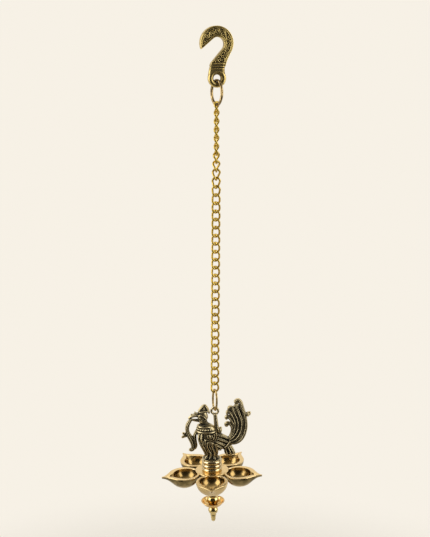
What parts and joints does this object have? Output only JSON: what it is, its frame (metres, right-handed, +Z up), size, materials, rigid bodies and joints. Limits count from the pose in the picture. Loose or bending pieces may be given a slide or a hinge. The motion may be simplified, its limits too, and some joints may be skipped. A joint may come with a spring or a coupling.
{
  "type": "hanging chain oil lamp",
  "caption": "Brass hanging oil lamp: a crescent hook and a curb chain carry a bird figure over a dish of pointed oil bowls, with a drip pan and finial below.",
  "frame": {"origin": "centre of the hook's bow, where the nail or rod lies", "axes": "+Z up along the hanging line, -Y to the front of the hook, X to its right"},
  "size_m": [0.0929, 0.0955, 0.4713],
  "materials": {
    "antique_brass": "cast, dark patina with rubbed edges",
    "ring_brass": "drawn wire, browned",
    "chain_brass": "bright drawn wire",
    "cast_brass": "turned, light patina",
    "polished_brass": "cast and polished"
  },
  "bodies": {
    "hook": {"hook": "antique_brass"},
    "upper_ring": {"upper_ring": "ring_brass"},
    "link_01": {"chain_link_01": "chain_brass"},
    "link_02": {"chain_link_02": "chain_brass"},
    "link_03": {"chain_link_03": "chain_brass"},
    "link_04": {"chain_link_04": "chain_brass"},
    "link_05": {"chain_link_05": "chain_brass"},
    "link_06": {"chain_link_06": "chain_brass"},
    "link_07": {"chain_link_07": "chain_brass"},
    "link_08": {"chain_link_08": "chain_brass"},
    "link_09": {"chain_link_09": "chain_brass"},
    "link_10": {"chain_link_10": "chain_brass"},
    "link_11": {"chain_link_11": "chain_brass"},
    "link_12": {"chain_link_12": "chain_brass"},
    "link_13": {"chain_link_13": "chain_brass"},
    "link_14": {"chain_link_14": "chain_brass"},
    "link_15": {"chain_link_15": "chain_brass"},
    "link_16": {"chain_link_16": "chain_brass"},
    "link_17": {"chain_link_17": "chain_brass"},
    "link_18": {"chain_link_18": "chain_brass"},
    "link_19": {"chain_link_19": "chain_brass"},
    "link_20": {"chain_link_20": "chain_brass"},
    "link_21": {"chain_link_21": "chain_brass"},
    "link_22": {"chain_link_22": "chain_brass"},
    "link_23": {"chain_link_23": "chain_brass"},
    "link_24": {"chain_link_24": "chain_brass"},
    "link_25": {"chain_link_25": "chain_brass"},
    "link_26": {"chain_link_26": "chain_brass"},
    "link_27": {"chain_link_27": "chain_brass"},
    "link_28": {"chain_link_28": "chain_brass"},
    "link_29": {"chain_link_29": "chain_brass"},
    "link_30": {"chain_link_30": "chain_brass"},
    "link_31": {"chain_link_31": "chain_brass"},
    "link_32": {"chain_link_32": "chain_brass"},
    "link_33": {"chain_link_33": "chain_brass"},
    "link_34": {"chain_link_34": "chain_brass"},
    "link_35": {"chain_link_35": "chain_brass"},
    "link_36": {"chain_link_36": "chain_brass"},
    "lower_ring": {"lower_ring": "ring_brass"},
    "lamp": {"hanging_stem": "antique_brass", "bird_figure": "antique_brass", "tie_rod": "cast_brass", "ribbed_collar": "cast_brass", "lamp_dish": "polished_brass", "baluster": "polished_brass", "drip_pan": "polished_brass", "finial": "polished_brass"}
  },
  "joints": [
    {"name": "ring_swing", "type": "hinge", "parent": "hook", "child": "upper_ring", "pos_m": [0, 0, -0.0295], "axis": [0, 1, 0], "range_deg": [-60, 60]},
    {"name": "link_01_swing", "type": "hinge", "parent": "upper_ring", "child": "link_01", "pos_m": [0, 0, -0.05265], "axis": [0.3746, -0.9272, 0], "range_deg": [-35, 35]},
    {"name": "link_02_swing", "type": "hinge", "parent": "link_01", "child": "link_02", "pos_m": [0, 0, -0.0598], "axis": [-0.4067, 0.9135, 0], "range_deg": [-35, 35]},
    {"name": "link_03_swing", "type": "hinge", "parent": "link_02", "child": "link_03", "pos_m": [0, 0, -0.06525], "axis": [0.9272, 0.3746, 0], "range_deg": [-35, 35]},
    {"name": "link_04_swing", "type": "hinge", "parent": "link_03", "child": "link_04", "pos_m": [0, 0, -0.0748], "axis": [0.4067, -0.9135, 0], "range_deg": [-35, 35]},
    {"name": "link_05_swing", "type": "hinge", "parent": "link_04", "child": "link_05", "pos_m": [0, 0, -0.08025], "axis": [-0.9272, -0.3746, 0], "range_deg": [-35, 35]},
    {"name": "link_06_swing", "type": "hinge", "parent": "link_05", "child": "link_06", "pos_m": [0, 0, -0.0898], "axis": [-0.4067, 0.9135, 0], "range_deg": [-35, 35]},
    {"name": "link_07_swing", "type": "hinge", "parent": "link_06", "child": "link_07", "pos_m": [0, 0, -0.09525], "axis": [0.9911, 0.1334, 0], "range_deg": [-35, 35]},
    {"name": "link_08_swing", "type": "hinge", "parent": "link_07", "child": "link_08", "pos_m": [0, 0, -0.1048], "axis": [0.1679, -0.9858, 0], "range_deg": [-35, 35]},
    {"name": "link_09_swing", "type": "hinge", "parent": "link_08", "child": "link_09", "pos_m": [0, 0, -0.11025], "axis": [-0.9336, 0.3584, 0], "range_deg": [-35, 35]},
    {"name": "link_10_swing", "type": "hinge", "parent": "link_09", "child": "link_10", "pos_m": [0, 0, -0.1198], "axis": [0.3256, 0.9455, 0], "range_deg": [-35, 35]},
    {"name": "link_11_swing", "type": "hinge", "parent": "link_10", "child": "link_11", "pos_m": [0, 0, -0.12525], "axis": [0.6472, -0.7623, 0], "range_deg": [-35, 35]},
    {"name": "link_12_swing", "type": "hinge", "parent": "link_11", "child": "link_12", "pos_m": [0, 0, -0.1348], "axis": [-0.7392, -0.6734, 0], "range_deg": [-35, 35]},
    {"name": "link_13_swing", "type": "hinge", "parent": "link_12", "child": "link_13", "pos_m": [0, 0, -0.14025], "axis": [-0.4384, 0.8988, 0], "range_deg": [-35, 35]},
    {"name": "link_14_swing", "type": "hinge", "parent": "link_13", "child": "link_14", "pos_m": [0, 0, -0.1498], "axis": [0.8829, 0.4695, 0], "range_deg": [-35, 35]},
    {"name": "link_15_swing", "type": "hinge", "parent": "link_14", "child": "link_15", "pos_m": [0, 0, -0.15525], "axis": [0.4384, -0.8988, 0], "range_deg": [-35, 35]},
    {"name": "link_16_swing", "type": "hinge", "parent": "link_15", "child": "link_16", "pos_m": [0, 0, -0.1648], "axis": [-0.8829, -0.4695, 0], "range_deg": [-35, 35]},
    {"name": "link_17_swing", "type": "hinge", "parent": "link_16", "child": "link_17", "pos_m": [0, 0, -0.17025], "axis": [-0.4384, 0.8988, 0], "range_deg": [-35, 35]},
    {"name": "link_18_swing", "type": "hinge", "parent": "link_17", "child": "link_18", "pos_m": [0, 0, -0.1798], "axis": [0.8829, 0.4695, 0], "range_deg": [-35, 35]},
    {"name": "link_19_swing", "type": "hinge", "parent": "link_18", "child": "link_19", "pos_m": [0, 0, -0.18525], "axis": [0.4384, -0.8988, 0], "range_deg": [-35, 35]},
    {"name": "link_20_swing", "type": "hinge", "parent": "link_19", "child": "link_20", "pos_m": [0, 0, -0.1948], "axis": [-0.8829, -0.4695, 0], "range_deg": [-35, 35]},
    {"name": "link_21_swing", "type": "hinge", "parent": "link_20", "child": "link_21", "pos_m": [0, 0, -0.20025], "axis": [-0.4384, 0.8988, 0], "range_deg": [-35, 35]},
    {"name": "link_22_swing", "type": "hinge", "parent": "link_21", "child": "link_22", "pos_m": [0, 0, -0.2098], "axis": [0.8829, 0.4695, 0], "range_deg": [-35, 35]},
    {"name": "link_23_swing", "type": "hinge", "parent": "link_22", "child": "link_23", "pos_m": [0, 0, -0.21525], "axis": [0.4384, -0.8988, 0], "range_deg": [-35, 35]},
    {"name": "link_24_swing", "type": "hinge", "parent": "link_23", "child": "link_24", "pos_m": [0, 0, -0.2248], "axis": [-0.8829, -0.4695, 0], "range_deg": [-35, 35]},
    {"name": "link_25_swing", "type": "hinge", "parent": "link_24", "child": "link_25", "pos_m": [0, 0, -0.23025], "axis": [-0.4384, 0.8988, 0], "range_deg": [-35, 35]},
    {"name": "link_26_swing", "type": "hinge", "parent": "link_25", "child": "link_26", "pos_m": [0, 0, -0.2398], "axis": [0.8829, 0.4695, 0], "range_deg": [-35, 35]},
    {"name": "link_27_swing", "type": "hinge", "parent": "link_26", "child": "link_27", "pos_m": [0, 0, -0.24525], "axis": [0.4384, -0.8988, 0], "range_deg": [-35, 35]},
    {"name": "link_28_swing", "type": "hinge", "parent": "link_27", "child": "link_28", "pos_m": [0, 0, -0.2548], "axis": [-0.8829, -0.4695, 0], "range_deg": [-35, 35]},
    {"name": "link_29_swing", "type": "hinge", "parent": "link_28", "child": "link_29", "pos_m": [0, 0, -0.26025], "axis": [-0.4384, 0.8988, 0], "range_deg": [-35, 35]},
    {"name": "link_30_swing", "type": "hinge", "parent": "link_29", "child": "link_30", "pos_m": [0, 0, -0.2698], "axis": [0.8829, 0.4695, 0], "range_deg": [-35, 35]},
    {"name": "link_31_swing", "type": "hinge", "parent": "link_30", "child": "link_31", "pos_m": [0, 0, -0.27525], "axis": [0.4384, -0.8988, 0], "range_deg": [-35, 35]},
    {"name": "link_32_swing", "type": "hinge", "parent": "link_31", "child": "link_32", "pos_m": [0, 0, -0.2848], "axis": [-0.8829, -0.4695, 0], "range_deg": [-35, 35]},
    {"name": "link_33_swing", "type": "hinge", "parent": "link_32", "child": "link_33", "pos_m": [0, 0, -0.29025], "axis": [-0.4384, 0.8988, 0], "range_deg": [-35, 35]},
    {"name": "link_34_swing", "type": "hinge", "parent": "link_33", "child": "link_34", "pos_m": [0, 0, -0.2998], "axis": [0.8829, 0.4695, 0], "range_deg": [-35, 35]},
    {"name": "link_35_swing", "type": "hinge", "parent": "link_34", "child": "link_35", "pos_m": [0, 0, -0.30525], "axis": [0.4384, -0.8988, 0], "range_deg": [-35, 35]},
    {"name": "link_36_swing", "type": "hinge", "parent": "link_35", "child": "link_36", "pos_m": [0, 0, -0.3148], "axis": [-0.8829, -0.4695, 0], "range_deg": [-35, 35]},
    {"name": "lower_ring_swing", "type": "hinge", "parent": "link_36", "child": "lower_ring", "pos_m": [0, 0, -0.3223], "axis": [0.8829, 0.4695, 0], "range_deg": [-35, 35]},
    {"name": "lamp_swing", "type": "hinge", "parent": "lower_ring", "child": "lamp", "pos_m": [0, 0, -0.34115], "axis": [0.2419, 0.9703, 0], "range_deg": [-20, 20]}
  ]
}
